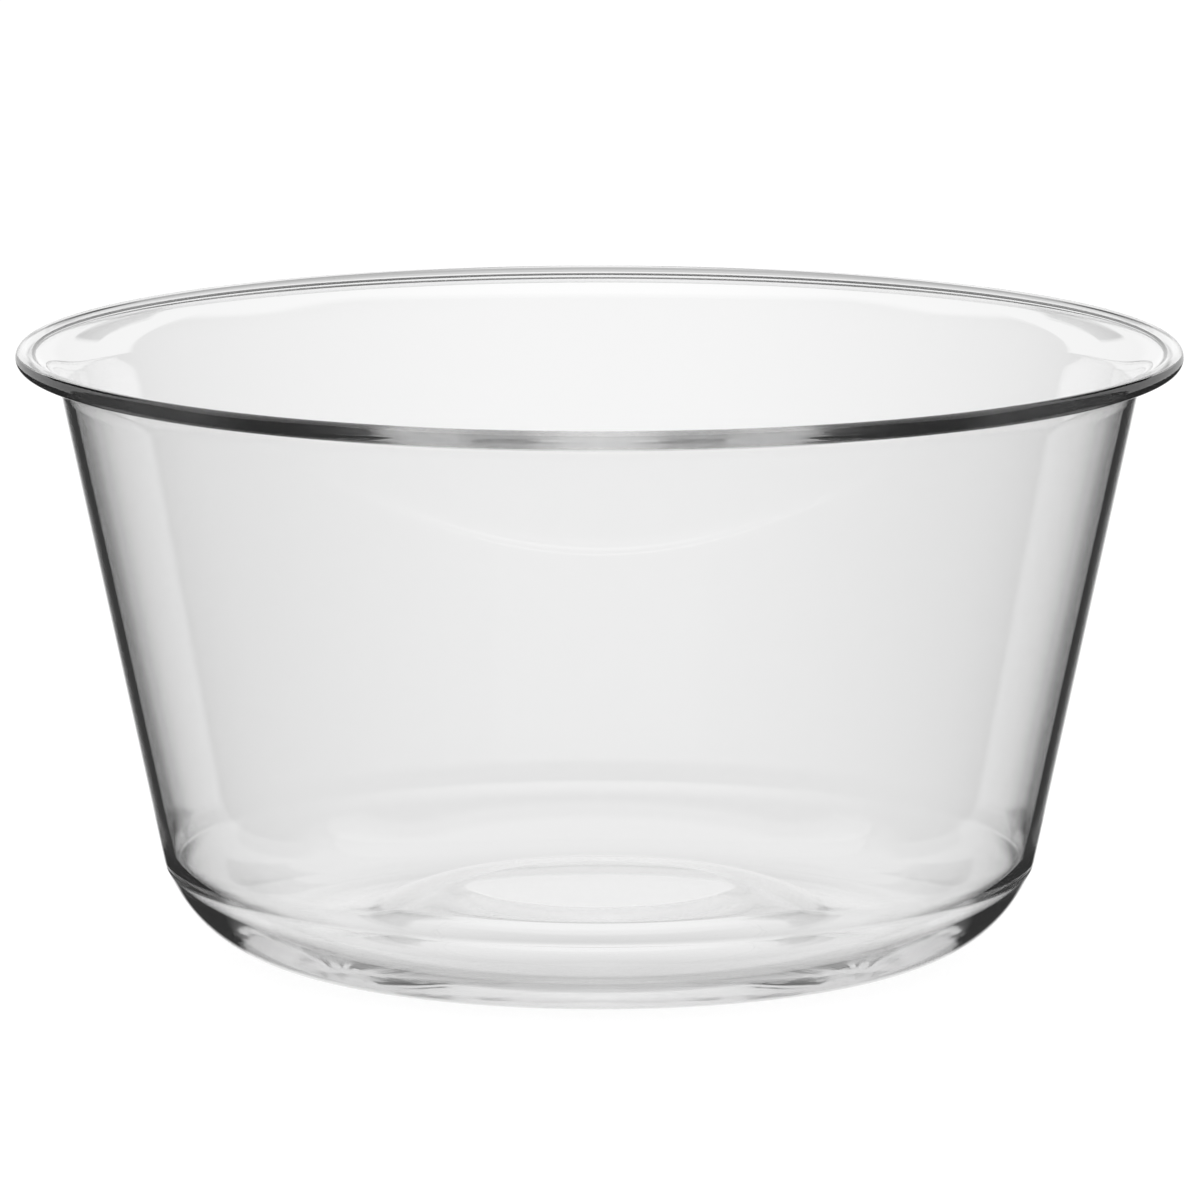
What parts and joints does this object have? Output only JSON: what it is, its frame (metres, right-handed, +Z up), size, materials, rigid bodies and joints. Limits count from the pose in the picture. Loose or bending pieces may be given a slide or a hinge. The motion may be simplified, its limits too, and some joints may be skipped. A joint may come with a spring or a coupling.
{
  "type": "glass bowl",
  "caption": "Round clear glass serving bowl with a straight flared wall, an out-turned lip ending in a bead, a rounded heel, and a base on a flat foot ring that is pushed up in the middle.",
  "frame": {"origin": "centre of the foot, on the surface that the bowl stands on", "axes": "+Z up along the bowl's axis, out of its mouth; X and Y are alike, because the bowl is round"},
  "size_m": [0.235, 0.235, 0.1232],
  "materials": {
    "clear_glass": "clear colourless soda-lime glass, smooth and fire-polished"
  },
  "bodies": {
    "root": {"glass_bowl": "clear_glass"}
  },
  "joints": []
}
